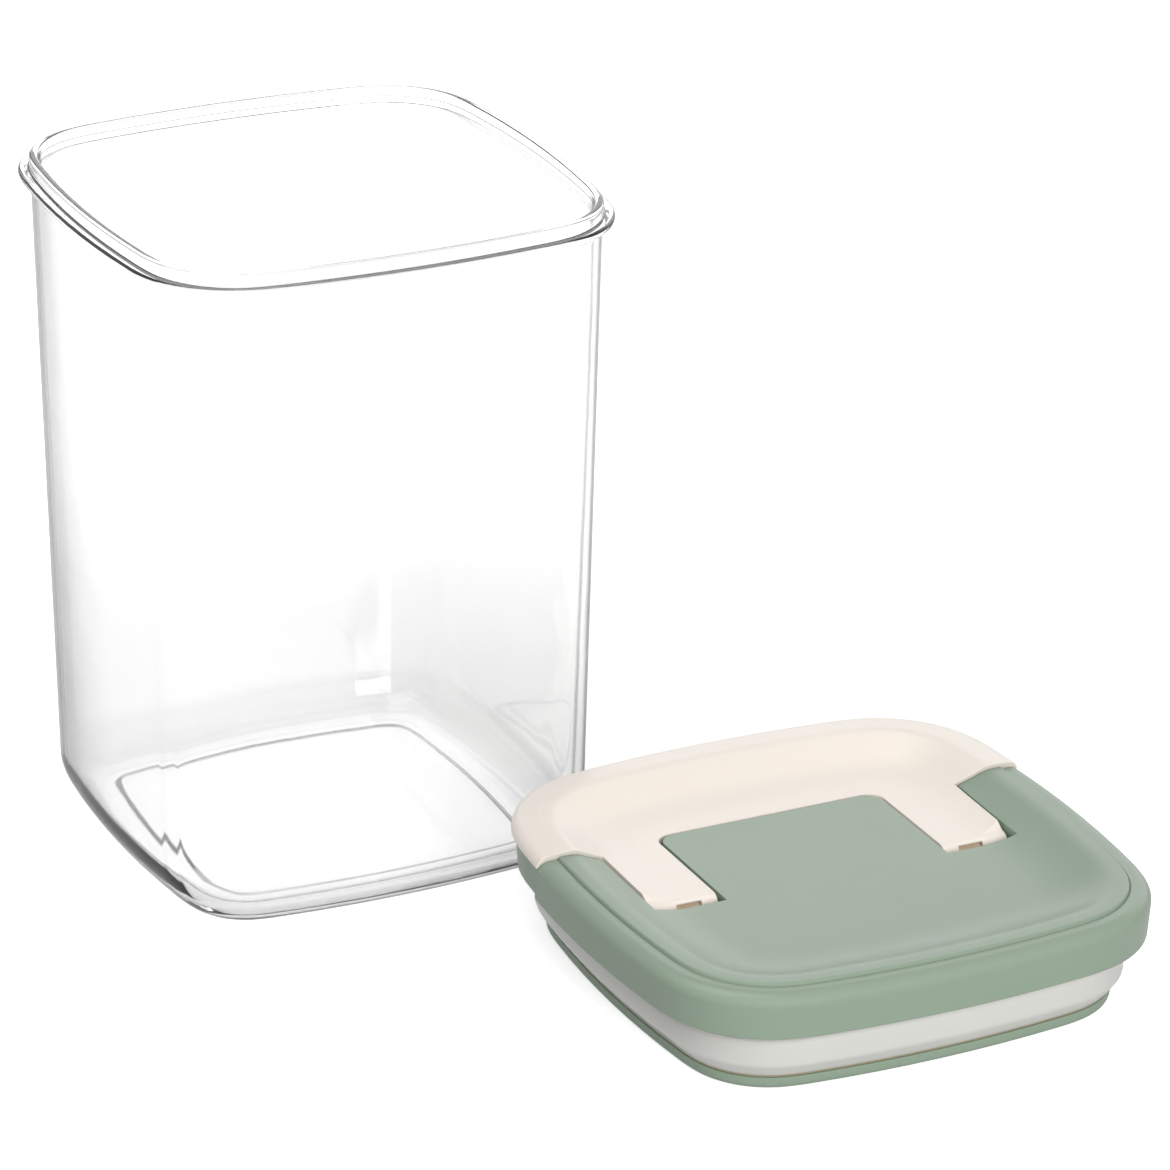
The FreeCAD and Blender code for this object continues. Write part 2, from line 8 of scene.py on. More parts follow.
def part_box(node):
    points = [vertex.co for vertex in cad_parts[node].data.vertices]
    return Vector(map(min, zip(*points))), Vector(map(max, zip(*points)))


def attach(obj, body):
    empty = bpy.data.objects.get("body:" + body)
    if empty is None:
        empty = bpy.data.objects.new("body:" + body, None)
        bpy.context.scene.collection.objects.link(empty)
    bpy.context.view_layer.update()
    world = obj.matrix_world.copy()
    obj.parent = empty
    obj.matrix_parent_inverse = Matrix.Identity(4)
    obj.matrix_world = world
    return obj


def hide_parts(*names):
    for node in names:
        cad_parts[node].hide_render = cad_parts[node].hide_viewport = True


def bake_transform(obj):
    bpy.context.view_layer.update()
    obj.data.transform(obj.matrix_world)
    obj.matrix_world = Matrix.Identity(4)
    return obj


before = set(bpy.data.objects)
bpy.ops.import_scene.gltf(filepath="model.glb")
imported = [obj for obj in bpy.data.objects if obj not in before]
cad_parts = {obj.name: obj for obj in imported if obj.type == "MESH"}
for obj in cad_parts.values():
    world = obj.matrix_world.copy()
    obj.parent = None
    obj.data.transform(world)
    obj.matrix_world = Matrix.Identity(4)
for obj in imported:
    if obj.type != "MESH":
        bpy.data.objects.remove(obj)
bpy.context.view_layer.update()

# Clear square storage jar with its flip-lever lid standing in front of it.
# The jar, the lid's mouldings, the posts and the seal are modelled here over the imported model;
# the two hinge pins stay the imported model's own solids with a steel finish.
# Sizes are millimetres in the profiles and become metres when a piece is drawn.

bl_info = {
    "name": "Square Storage Jar",
    "version": (1, 0, 0),
    "blender": (4, 5, 0),
    "location": "View3D > Sidebar > Storage Jar",
    "description": "Builds a clear storage jar, its flip-lever lid and a plain studio",
    "category": "Object",
}

MM = 0.001
QUARTER = 90.0
OVERRUN = 2.0  # how far a cutting tool reaches past what it cuts
SAME_POINT = 0.01
DOUBLES = 0.002
ARC_STEP = 9.0  # degrees between the points of a rounding
LEAD_STEPS = 2
SOFT_ANGLE = 32.0
SMOOTH_ANGLE = 34.0


def box_mm(node):
    """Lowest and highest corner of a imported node, in millimetres."""
    low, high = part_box(node)
    return Vector(low) / MM, Vector(high) / MM


JAR_LOW, JAR_HIGH = box_mm("jar_body")
PLATE_LOW, PLATE_HIGH = box_mm("lower_plate")
JAR_PLACE = Vector((0, 0, 0))
LID_PLACE = Vector(((PLATE_LOW.x + PLATE_HIGH.x) / 2, (PLATE_LOW.y + PLATE_HIGH.y) / 2, 0))

# Outline shared by jar and lid: a bowed side turns SIDE_TURN degrees each way from its middle,
# then come arcs that lead into the corner: (degrees turned where the arc ends, radius)
LEDGE_HALF = (JAR_HIGH.x - JAR_LOW.x) / 2
SIDE_RADIUS = LEDGE_HALF * 4.77
SIDE_TURN = 6.25
LEAD_ARCS = ((8.0, 95.0), (14.0, 45.0))

# Jar: half widths from its middle and heights above its foot
RECESS_HALF = 39.6
RECESS_Z = 1.1
FOOT_INNER = 40.7
FOOT_HALF = 54.0
WALL_TOP_HALF = 57.2
WALL_TOP_Z = 156.6
GUSSET_HALF = 58.6
LEDGE_LOW = 158.0
LEDGE_HIGH = 159.8
NECK_HALF = 57.5
MOUTH_HALF = 55.3
MOUTH_FOOT_Z = 137.7
INSIDE_HALF = 51.7
INSIDE_Z = 3.6

# Lid: heights above the underside of the lower plate, and half widths from its middle
SKIRT_Z = 16.15
COVER_Z = 27.0
CREST_Z = 27.65
FLOOR_Z = 22.9
SKIRT_HALF = 63.3
SKIRT_DRAFT = 4.0
CREASE_OUTER = 58.45
CREASE_INNER = 58.25
CREASE_DEPTH = 0.3
CREST_OUTER = 57.95
LEVER_CREST = 57.2
CREST_INNER = 53.95
UNDER_CREST = 52.64
DISH_HALF = 44.35

# Cover: walls, the room of the lever in it and the scoop in the back of its skirt
SKIN = 2
SHELF_SKIN = 1.8
HOLLOW_HALF = 60.6
SHELF_DROP = 2.5
SET_BACK = 1.0
RIND_GAP = 0.05
SEAM = 0.65
CUT_SLANT = 20.0
BEHIND_PIVOTS = 5
TONGUE_FRONT = -10
TONGUE_ROUND = 4.0
SCOOP_SHARE = 0.567
SCOOP_DEPTH = 0.5
SCOOP_HEIGHT = 8

# Pockets of the arms and the tubs of skin round them
PIT_Z = 13.05
PIT_BACK = 7.9
CHANNEL_Z = 17.6
POCKET_FRONT = -5.3
POCKET_BACK = 27.5
TUB_FRONT = -6.9
TUB_PIT_BACK = 9.9
TUB_Z = 15.6
TUB_BACK = 29.4
TUB_TOP = 21.6
TUB_SIDE = 1.4
PASSAGE_HALF = 3.21  # passage of a post through the floor of its pit
PASSAGE_Y = (-2.3, 2.3)
PASSAGE_Z = (9, 15)

# Lever: handle, hollow arms, round noses and the cams that lift the cover
PROUD = 0.9
LEVER_THICKNESS = 2.2
LEVER_FRONT = 22.02
HANDLE_FRONT = 30.42
ARM_INNER = 28.98
ARM_OUTER = 45.6
ARM_ROOT = 27.0
ARM_UNDERSIDE = 17.9
ARM_START_SLOPE = 1.6
CORE_WALL = 1.8
CORE_Y = (6.4, 25.2)
CORE_Z = (15.9, 20.7)
NOSE_RADIUS = 2.9
NOSE_RISE = 0.85
NOSE_STEPS = 8
CAM_LIFT = 3.0
CAM_REACH = 5.9
CAM_STEPS = 12
HEEL_Y = 4.6
SLOT_HALF = 3.11
SLOT_Y = (-4.9, 2.65)
SLOT_Z = (11.0, 21.8)
NOTCH_BACK = -1.55
NOTCH_TOP = 24.9

# Pins and pull posts
PIN_Z = 19.15
PIN_RADIUS = 1.25
PIN_COVERED = 1.2
PIN_PLAY = 0.05
POST_CENTRE = 36.08
POST_WIDTH = 5.82
POST_Y = (-2.0, 2.0)
POST_FOOT_Z = 1.2
POST_HEAD = 2.4

# Lower plate, its guide wall and the sockets of the posts
PLATE_HALF = 54.9
PLATE_EDGE_Z = 2.85
PLATE_FLOOR_Z = 2.2
GUIDE_OUTER = 48.65
GUIDE_INNER = 47.25
GUIDE_Z = 9.5
SOCKET_WALL = 1.6
SOCKET_Y = (-3.6, 3.6)
SOCKET_Z = (1, 6.8)
SOCKET_OPEN_Z = 9

# Seal carrier and seal
CARRIER_INNER = 49.0
CARRIER_SKIRT = 50.4
CARRIER_LOW = 6.0
CARRIER_CLIP = 53.1
CARRIER_SHELF_Z = 18.4
CARRIER_HIGH = 22.7
SEAL_SEAT_Z = 16.9
RIM_SEAT_Z = 20.85
SEAL_INNER = 50.8
SEAL_SEAT = 54.6
SEAL_BULGE = 57.6
SEAL_BULGE_Z = (7.0, 12.6)
SEAL_HOLLOW = (56.0, 9.9)
SEAL_LIP = 1.4

# Studio, in metres: lamps as (name, place, width and height, setting of the power, seen in gloss)
LAMPS = (
    ("Key lamp", (-0.50, 0.02, 1.30), (1.1, 1.1), "key", True),
    ("Fill lamp", (-0.17, -1.64, 0.67), (1.2, 1.0), "fill", False),
    ("Back lamp", (1.02, 1.12, 0.66), (2.3, 1.0), "back", True),
)
LAMP_AIM = (0.04, -0.06, 0.05)
CAMERA_PLACE = (-0.4829, -1.1298, 0.5908)
CAMERA_VIEW = (0.4036, 0.8248, -0.3960)
CAMERA_ROLL = 0.58
CAMERA_LENS = 175.0
CAMERA_REACH = 100.0
FLOOR_SIZE = 14.0
WHITE = (1, 1, 1, 1)
PALE_PAINT = (0.6, 0.6, 0.6, 1)
# The floor's lift grows with the distance from the jar
LIFT_START = 0.05
LIFT_END = 0.30
FAR_FLOOR_LIFT = 0.95
FAR_GLOSS_LIFT = 0.4
FAR_GLASS_GAIN = 0.34


def outline_arcs():
    """One quarter of the outline: (centre, degrees, kind) of its arcs, and the corner radius."""
    centre, radius, turned = Vector((LEDGE_HALF - SIDE_RADIUS, 0, 0)), SIDE_RADIUS, SIDE_TURN
    arcs = [(centre, 2 * SIDE_TURN, "side")]
    leads = []
    for end, lead_radius in LEAD_ARCS:
        angle = math.radians(turned)
        towards = Vector((math.cos(angle), math.sin(angle), 0))
        centre = centre + (radius - lead_radius) * towards
        radius = lead_radius
        leads.append((centre, end - turned, "lead"))
        turned = end
    angle = math.radians(turned)
    shift = (centre.y - centre.x) / (math.cos(angle) - math.sin(angle))
    centre = centre + shift * Vector((math.cos(angle), math.sin(angle), 0))
    corner = (centre, QUARTER - 2 * turned, "corner")
    mirrored = [(Vector((c.y, c.x, 0)), degrees, kind) for c, degrees, kind in reversed(leads)]
    return arcs + leads + [corner] + mirrored, radius - shift


OUTLINE, CORNER_RADIUS = outline_arcs()
CORE_HALF = LEDGE_HALF - CORNER_RADIUS + 1


class JarSizes(bpy.types.PropertyGroup):
    """Sizes of the jar, the lid's roundings and how finely they are drawn"""
    rim_round: FloatProperty(
        name="Rim round", description="Radius of the jar's rim edges",
        default=0.0009, min=0.0002, max=0.001, unit="LENGTH")
    ledge_round: FloatProperty(
        name="Ledge round", description="Radius of the ledge's edges",
        default=0.00075, min=0.0002, max=0.0008, unit="LENGTH")
    inner_base_round: FloatProperty(
        name="Inner base round", description="Radius between the jar's wall and floor",
        default=0.009, min=0.003, max=0.014, unit="LENGTH")
    shoulder_round: FloatProperty(
        name="Shoulder round", description="Radius of the lid's outer shoulder",
        default=0.003, min=0.002, max=0.0044, unit="LENGTH")
    lip_round: FloatProperty(
        name="Lip round", description="Rounded edge along the lever's cuts",
        default=0.00026, min=0.0001, max=0.0006, unit="LENGTH")
    seam_round: FloatProperty(
        name="Seam round", description="Softened edge along the cuts in the cover",
        default=0.00012, min=0, max=0.0005, unit="LENGTH")
    side_steps: IntProperty(
        name="Side steps", description="Divisions of each bowed side", default=8, min=2, max=24)
    corner_steps: IntProperty(
        name="Corner steps", description="Divisions of each corner", default=18, min=6, max=40)


RGB = {"size": 3, "min": 0, "max": 1}


class JarFinishes(bpy.types.PropertyGroup):
    """Colours of the jar's plastics, its seal and its pins"""
    green: FloatVectorProperty(
        name="Green", description="Matte green of the cover and the plate",
        subtype="COLOR", **RGB, default=(0.262, 0.341, 0.260))
    cream: FloatVectorProperty(
        name="Cream", description="Cream of the lever",
        subtype="COLOR", **RGB, default=(0.925, 0.845, 0.765))
    # The posts are cream plastic; this tan is the cream darkened as painted shade for the posts
    # seen deep in the arms' notches
    post: FloatVectorProperty(
        name="Post", description="Tan of the posts seen in the arms' notches",
        subtype="COLOR", **RGB, default=(0.74, 0.58, 0.42))
    carrier: FloatVectorProperty(
        name="Carrier", description="Pale plastic of the frame under the cover",
        subtype="COLOR", **RGB, default=(0.62, 0.63, 0.60))
    seal: FloatVectorProperty(
        name="Seal", description="Milky seal",
        subtype="COLOR", **RGB, default=(0.655, 0.65, 0.62))
    steel: FloatVectorProperty(
        name="Steel", description="Hinge pins",
        subtype="COLOR", **RGB, default=(0.60, 0.60, 0.61))
    clear: FloatVectorProperty(
        name="Clear", description="Clear plastic looked straight through",
        subtype="COLOR", **RGB, default=(0.985, 0.985, 0.985))
    # Painted shade: a dark grey for the faces of the foot's step, standing in for the dark line
    # refraction shows round the recess
    clear_step_shade: FloatVectorProperty(
        name="Clear step shade", description="Clear plastic at the step of the foot",
        subtype="COLOR", **RGB, default=(0.45, 0.45, 0.45))
    # Painted shade: near black where the view grazes the clear walls, standing in for the dark
    # bands seen through them
    clear_grazing_shade: FloatVectorProperty(
        name="Clear grazing shade", description="Clear plastic where the view grazes it",
        subtype="COLOR", **RGB, default=(0.08, 0.08, 0.084))


class StudioLight(bpy.types.PropertyGroup):
    """Plain soft light and a pale floor"""
    ambient: FloatProperty(
        name="Ambient", description="Strength of light from all round", default=0.12, min=0, max=2)
    key: FloatProperty(
        name="Key", description="Power of the large lamp overhead",
        default=8.0, min=0, max=200, unit="POWER")
    fill: FloatProperty(
        name="Fill", description="Power of the lamp in front",
        default=26.0, min=0, max=200, unit="POWER")
    back: FloatProperty(
        name="Back", description="Power of the low lamp behind, seen as sheen on flat tops",
        default=8.3, min=0, max=200, unit="POWER")
    floor_lift: FloatProperty(
        name="Floor lift", description="Light added to the near floor as the camera sees it",
        default=0.62, min=0, max=1)
    gloss_lift: FloatProperty(
        name="Gloss lift", description="Light added to the near floor as gloss shows it",
        default=0.2, min=0, max=1)
    glass_lift: FloatProperty(
        name="Glass lift", description="Light added to the near floor as glass shows it",
        default=0.19, min=0, max=1)


# Modelling helpers

def object_mode():
    """Leave edit mode and select nothing."""
    if bpy.context.object and bpy.context.object.mode != "OBJECT":
        bpy.ops.object.mode_set(mode="OBJECT")
    bpy.ops.object.select_all(action="DESELECT")


def work_on(piece):
    """Make one piece the only selected and the active one."""
    object_mode()
    piece.select_set(True)
    bpy.context.view_layer.objects.active = piece


def edit_by(kind):
    """Go into edit mode, picking by vertex or by edge."""
    bpy.context.tool_settings.mesh_select_mode = (kind == "VERT", kind == "EDGE", False)
    bpy.ops.object.mode_set(mode="EDIT")


def edit_all():
    """Go into edit mode with the whole mesh selected."""
    bpy.ops.object.mode_set(mode="EDIT")
    bpy.ops.mesh.select_all(action="SELECT")


def clear_selection(mesh):
    """Deselect every vertex, edge and face of a mesh."""
    for parts in (mesh.vertices, mesh.edges, mesh.polygons):
        parts.foreach_set("select", [False] * len(parts))


def select_points(piece, *points):
    """Go into edit mode with only the vertices at some points selected."""
    work_on(piece)
    clear_selection(piece.data)
    for vertex in piece.data.vertices:
        vertex.select = any((vertex.co - point).length < SAME_POINT * MM for point in points)
    edit_by("VERT")


def settle(piece, name):
    """Name a new piece and keep its place in its mesh."""
    piece.name = piece.data.name = name
    bpy.ops.object.transform_apply()
    return piece


def apply_modifier(piece, kind, **settings):
    """Add one modifier to the active piece, set it and apply it."""
    bpy.ops.object.modifier_add(type=kind)
    modifier = piece.modifiers[-1]
    for key, value in settings.items():
        setattr(modifier, key, value)
    bpy.ops.object.modifier_apply(modifier=modifier.name)


def side_point(half, height, place):
    """Metres: where a profile point lies at the start of the +X bowed side."""
    centre = LEDGE_HALF - SIDE_RADIUS
    turn = math.radians(-SIDE_TURN)
    reach = half - centre
    return (place + Vector((centre + reach * math.cos(turn), reach * math.sin(turn), height))) * MM


def draw_line(name, points, closed):
    """A new piece that is a chain of edges through points, extruded from one vertex."""
    object_mode()
    bpy.ops.mesh.primitive_plane_add(size=MM, location=points[0])
    piece = settle(bpy.context.object, name)
    edit_by("VERT")
    bpy.ops.mesh.select_all(action="SELECT")
    bpy.ops.mesh.merge(type="CENTER")
    for last, following in zip(points, points[1:]):
        bpy.ops.mesh.extrude_vertices_move(TRANSFORM_OT_translate={"value": following - last})
    if closed:
        select_points(piece, points[0], points[-1])
        bpy.ops.mesh.edge_face_add()
    return piece


def round_corners(piece, points, radii):
    """Bevel the vertices of a drawn line to arcs of the given radii."""
    for i, radius in enumerate(radii):
        if not radius:
            continue
        to_last = points[i - 1] - points[i]
        to_next = points[(i + 1) % len(points)] - points[i]
        half_angle = to_last.angle(to_next) / 2
        bend = 180 - 2 * math.degrees(half_angle)
        segments = max(3, math.ceil(bend / (ARC_STEP if radius > 1 else 2 * ARC_STEP)))
        select_points(piece, points[i])
        bpy.ops.mesh.bevel(offset=radius * MM / math.tan(half_angle), segments=segments,
                           affect="VERTICES")


def close_up(piece):
    """Merge doubles, fill open ends and turn all faces outwards."""
    work_on(piece)
    edit_all()
    bpy.ops.mesh.remove_doubles(threshold=DOUBLES * MM)
    bpy.ops.mesh.select_all(action="SELECT")
    bpy.ops.mesh.fill_holes(sides=0)
    bpy.ops.mesh.select_all(action="SELECT")
    bpy.ops.mesh.normals_make_consistent(inside=False)
    object_mode()
    return piece


def spun_form(name, corners, place=LID_PLACE, ring=False):
    """A profile of (half width, height, rounding) corners spun round the outline."""
    sizes = bpy.context.scene.jar_sizes
    points = [side_point(half, height, place) for half, height, _ in corners]
    piece = draw_line(name, points, ring)
    round_corners(piece, points, [radius for _, _, radius in corners])
    edit_all()
    steps = {"side": sizes.side_steps, "lead": LEAD_STEPS, "corner": sizes.corner_steps}
    for quarter in range(4):
        turned = Matrix.Rotation(math.radians(quarter * QUARTER), 3, "Z")
        for centre, degrees, kind in OUTLINE:
            middle = (place + turned @ centre) * MM
            bpy.ops.mesh.spin(steps=steps[kind], angle=-math.radians(degrees), center=middle,
                              axis=(0, 0, 1))
    return close_up(piece)


def box(name, x, y, z):
    """A closed box between limits on the three axes, in the lid's own frame."""
    object_mode()
    low = (LID_PLACE + Vector((x[0], y[0], z[0]))) * MM
    high = (LID_PLACE + Vector((x[1], y[1], z[1]))) * MM
    bpy.ops.mesh.primitive_cube_add(size=1, location=(low + high) / 2)
    piece = bpy.context.object
    piece.scale = high - low
    return settle(piece, name)


def round_bar(name, radius, x, steps=32):
    """A closed bar along X between two limits, round the pin's axis."""
    object_mode()
    length = x[1] - x[0]
    middle = (LID_PLACE + Vector((x[0], 0, PIN_Z)) + Vector((length / 2, 0, 0))) * MM
    bpy.ops.mesh.primitive_cylinder_add(vertices=steps, radius=radius * MM, depth=length * MM,
                                        location=middle, rotation=(0, math.radians(QUARTER), 0))
    return settle(bpy.context.object, name)


def combine(piece, operation, *tools):
    """Cut, join or keep the common part of a piece and its tools, which are used up."""
    for tool in tools:
        work_on(piece)
        apply_modifier(piece, "BOOLEAN", operation=operation, solver="EXACT", object=tool)
        bpy.data.meshes.remove(tool.data)
        edit_all()
        bpy.ops.mesh.remove_doubles(threshold=SAME_POINT * MM)
        bpy.ops.object.mode_set(mode="OBJECT")
    return piece


def soften(piece, width):
    """Small round along the sharp edges."""
    work_on(piece)
    apply_modifier(piece, "BEVEL", width=width, segments=2, limit_method="ANGLE",
                   angle_limit=math.radians(SOFT_ANGLE), use_clamp_overlap=False,
                   miter_outer="MITER_ARC")


def finish_surface(piece):
    """Smooth shading that keeps the flats flat."""
    work_on(piece)
    bpy.ops.object.shade_smooth_by_angle(angle=math.radians(SMOOTH_ANGLE))
    apply_modifier(piece, "WEIGHTED_NORMAL", mode="FACE_AREA", keep_sharp=True)
    object_mode()


def paint(piece, material):
    """Give a piece one material in place of what it had."""
    piece.data.materials.clear()
    piece.data.materials.append(bpy.data.materials[material])


def dress(piece, material, slot, body, *nodes):
    """Give a finished piece its material and its body, and hide the nodes it stands for; its slot
    is not used.
    """
    paint(piece, material)
    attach(piece, body)
    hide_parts(*nodes)


# Shader helpers and materials

def feed(made, inputs):
    """Fill a node's inputs, each with a plain value or from another node's outlet."""
    for key, value in inputs.items():
        if isinstance(value, bpy.types.NodeSocket):
            made.id_data.links.new(value, made.inputs[key])
        else:
            made.inputs[key].default_value = value


def node(tree, kind, label, place, inputs=None, **values):
    """A node with a label, a place, its own values set and its inputs filled."""
    made = tree.nodes.new(kind)
    made.label = label
    made.location = place
    for key, value in values.items():
        setattr(made, key, value)
    feed(made, inputs or {})
    return made


def maths(tree, operation, label, place, *terms):
    """The outlet of one Math node, whose terms are numbers or other outlets."""
    made = node(tree, "ShaderNodeMath", label, place, dict(enumerate(terms)), operation=operation)
    return made.outputs[0]


def rgba(colour, shade=1.0):
    """A colour as a socket takes it, darkened by a share."""
    return (*(shade * part for part in colour), 1)


def new_group(name, inputs, outputs):
    """An empty shader node group with named sockets; inputs carry defaults."""
    group = bpy.data.node_groups.new(name, "ShaderNodeTree")
    for label, kind, default in inputs:
        socket = group.interface.new_socket(name=label, in_out="INPUT", socket_type=kind)
        if default is not None:
            socket.default_value = default
    for label, kind in outputs:
        group.interface.new_socket(name=label, in_out="OUTPUT", socket_type=kind)
    entry = node(group, "NodeGroupInput", "Inputs", (-900, 0))
    leave = node(group, "NodeGroupOutput", "Outputs", (700, 0))
    return group, entry.outputs, leave


def moulded_surface_group():
    """Moulded plastic: clouding of the colour, uneven gloss and a fine spark-eroded grain."""
    group, given, leave = new_group("Moulded Surface", (
        ("Vector", "NodeSocketVector", None),
        ("Colour", "NodeSocketColor", (0.5, 0.5, 0.5, 1)),
        ("Clouding", "NodeSocketFloat", 0.04),
        ("Roughness", "NodeSocketFloat", 0.5),
        ("Unevenness", "NodeSocketFloat", 0.06),
        ("Grain Scale", "NodeSocketFloat", 2600.0),
        ("Grain Depth", "NodeSocketFloat", 0.5),
    ), (
        ("Colour", "NodeSocketColor"),
        ("Roughness", "NodeSocketFloat"),
        ("Height", "NodeSocketFloat"),
    ))

    cloud = node(group, "ShaderNodeTexNoise", "Cloud", (-600, 250),
                 {"Vector": given["Vector"], "Scale": 38.0, "Detail": 3.0})
    centred = maths(group, "SUBTRACT", "Centred", (-400, 250), cloud.outputs["Fac"], 0.5)
    amount = maths(group, "MULTIPLY", "Cloud amount", (-220, 250), centred, given["Clouding"])
    value = maths(group, "ADD", "Value", (-40, 250), amount, 1.0)
    tone = node(group, "ShaderNodeHueSaturation", "Tone", (200, 250),
                {"Value": value, "Color": given["Colour"]})

    wipe = node(group, "ShaderNodeTexNoise", "Wipe marks", (-600, -50),
                {"Vector": given["Vector"], "Scale": 120.0, "Detail": 5.0})
    wipe_centred = maths(group, "SUBTRACT", "Wipe centred", (-400, -50), wipe.outputs["Fac"], 0.5)
    rough = maths(group, "MULTIPLY_ADD", "Uneven gloss", (-100, -50),
                  wipe_centred, given["Unevenness"], given["Roughness"])

    grain = node(group, "ShaderNodeTexNoise", "Grain", (-600, -350),
                 {"Vector": given["Vector"], "Scale": given["Grain Scale"], "Detail": 2.0})
    height = maths(group, "MULTIPLY", "Grain height", (-100, -350),
                   grain.outputs["Fac"], given["Grain Depth"])
    feed(leave, {"Colour": tone.outputs["Color"], "Roughness": rough, "Height": height})
    return group


def start_material(name):
    """A material with only a Principled shader, its output and Object coordinates."""
    material = bpy.data.materials.new(name)
    material.use_nodes = True
    tree = material.node_tree
    tree.nodes.clear()
    coordinates = node(tree, "ShaderNodeTexCoord", "Coordinates", (-700, 0))
    shader = node(tree, "ShaderNodeBsdfPrincipled", "Plastic", (350, 0))
    out = node(tree, "ShaderNodeOutputMaterial", "Output", (700, 0),
               {"Surface": shader.outputs["BSDF"]})
    return tree, shader, coordinates.outputs["Object"], out


def moulded_material(name, colour, group, roughness, grain_depth, clouding=0.04, grain_scale=2600.0,
                     ior=1.5, metallic=0.0):
    """Opaque moulded plastic, or the drawn steel of the pins."""
    tree, shader, spot, _ = start_material(name)
    surface = node(tree, "ShaderNodeGroup", "Moulded surface", (-350, 0),
                   {"Vector": spot, "Colour": rgba(colour), "Clouding": clouding,
                    "Roughness": roughness, "Grain Scale": grain_scale,
                    "Grain Depth": grain_depth}, node_tree=group)
    bump = node(tree, "ShaderNodeBump", "Grain", (50, -250),
                {"Height": surface.outputs["Height"], "Strength": 0.25, "Distance": 0.00005})
    feed(shader, {"Base Color": surface.outputs["Colour"], "Normal": bump.outputs["Normal"],
                  "Roughness": surface.outputs["Roughness"], "IOR": ior, "Metallic": metallic})
    return tree, shader, spot, surface


def clear_material(name, face_colour, grazing_shade_colour):
    """Clear plastic: refracting, with painted shade where the view grazes it and near its foot,
    light in its shadow.
    """
    tree, shader, spot, out = start_material(name)
    flow = node(tree, "ShaderNodeTexNoise", "Flow waves", (-500, -100),
                {"Vector": spot, "Scale": 34.0, "Detail": 1.5})
    bump = node(tree, "ShaderNodeBump", "Flow waves", (-100, -100),
                {"Height": flow.outputs["Fac"], "Strength": 0.35, "Distance": 0.0004})
    facing = node(tree, "ShaderNodeLayerWeight", "Grazing view", (-500, 300),
                  {"Normal": bump.outputs["Normal"], "Blend": 0.5})
    steep = node(tree, "ShaderNodeMapRange", "Only strong grazing", (-300, 300),
                 {"Value": facing.outputs["Facing"], "From Min": 0.66, "From Max": 0.82},
                 interpolation_type="SMOOTHSTEP")
    height = node(tree, "ShaderNodeSeparateXYZ", "Height", (-700, 600), {0: spot})
    # Painted shade: the clear colour darkened towards the foot
    low = node(tree, "ShaderNodeMapRange", "Near the foot", (-500, 600),
               {"Value": height.outputs["Z"], "From Min": 0.016, "From Max": 0.003},
               interpolation_type="SMOOTHSTEP")
    foot = node(tree, "ShaderNodeMix", "Painted shade at the foot", (-300, 500),
                {"Factor": low.outputs["Result"], "A": rgba(face_colour),
                 "B": rgba(face_colour, shade=0.88)}, data_type="RGBA")
    # Painted shade where the view grazes the clear plastic
    tint = node(tree, "ShaderNodeMix", "Painted grazing shade", (-100, 300),
                {"Factor": steep.outputs["Result"], "A": foot.outputs["Result"],
                 "B": rgba(grazing_shade_colour)}, data_type="RGBA")
    feed(shader, {"Base Color": tint.outputs["Result"], "Normal": bump.outputs["Normal"],
                  "Roughness": 0.0, "IOR": 1.46, "Transmission Weight": 1.0})
    light_path = node(tree, "ShaderNodeLightPath", "Light path", (350, 400))
    passing = node(tree, "ShaderNodeBsdfTransparent", "Light shadow", (350, 150),
                   {"Color": (0.90, 0.90, 0.90, 1)})
    mix = node(tree, "ShaderNodeMixShader", "Clear in shadow", (550, 100),
               {"Fac": light_path.outputs["Is Shadow Ray"], 1: shader.outputs["BSDF"],
                2: passing.outputs["BSDF"]})
    feed(out, {"Surface": mix.outputs["Shader"]})


def seal_material(name, colour, group, foot_height):
    """Milky soft seal with some light under its surface and a tan line along its foot."""
    tree, shader, spot, surface = moulded_material(name, colour, group, roughness=0.20,
                                                   grain_depth=0.1, clouding=0.05)
    height = node(tree, "ShaderNodeSeparateXYZ", "Height", (-350, 500), {0: spot})
    foot = node(tree, "ShaderNodeMapRange", "Foot of the seal", (-150, 500),
                {"Value": height.outputs["Z"], "From Min": foot_height + 0.0011,
                 "From Max": foot_height + 0.0008})
    tinted = node(tree, "ShaderNodeMix", "Tan foot", (100, 350),
                  {"Factor": foot.outputs["Result"], "A": surface.outputs["Colour"],
                   "B": (0.45, 0.36, 0.24, 1)}, data_type="RGBA")
    feed(shader, {"Base Color": tinted.outputs["Result"], "Coat Weight": 0.6,
                  "Coat Roughness": 0.08, "Subsurface Weight": 0.5,
                  "Subsurface Radius": (1.0, 0.95, 0.85), "Subsurface Scale": 0.002})


# Forms of the lid, in its own frame

def skirt_half(height):
    """Half width of the skirt, which narrows a little downwards."""
    return SKIRT_HALF - (COVER_Z - height) * math.tan(math.radians(SKIRT_DRAFT))


def cover_form(name, shoulder):
    """The cover's closed form: skirt, shoulder, crease, crest and dish."""
    return spun_form(name, [
        (CORE_HALF, SKIRT_Z, 0),
        (skirt_half(SKIRT_Z), SKIRT_Z, 0.5),
        (SKIRT_HALF, COVER_Z, shoulder),
        (CREASE_OUTER, COVER_Z, 0),
        (CREASE_INNER, COVER_Z - CREASE_DEPTH, 0),
        (CREST_OUTER, CREST_Z, 0.45),
        (CREST_INNER, CREST_Z, 7.0),
        (DISH_HALF, FLOOR_Z, 24.0),
        (CORE_HALF, FLOOR_Z, 0),
    ])


def lever_form(name, shoulder):
    """The lever's closed form: as the cover's, but smooth over the crest and a little proud."""
    low = PIT_Z - OVERRUN
    return spun_form(name, [
        (CORE_HALF, low, 0),
        (skirt_half(low), low, 0.5),
        (SKIRT_HALF, COVER_Z + PROUD, shoulder),
        (LEVER_CREST, CREST_Z + PROUD, 6.0),
        (CREST_INNER, CREST_Z + PROUD, 5.0),
        (DISH_HALF - 2 * PROUD, FLOOR_Z, 18.0),
        (CORE_HALF, FLOOR_Z, 0),
    ])


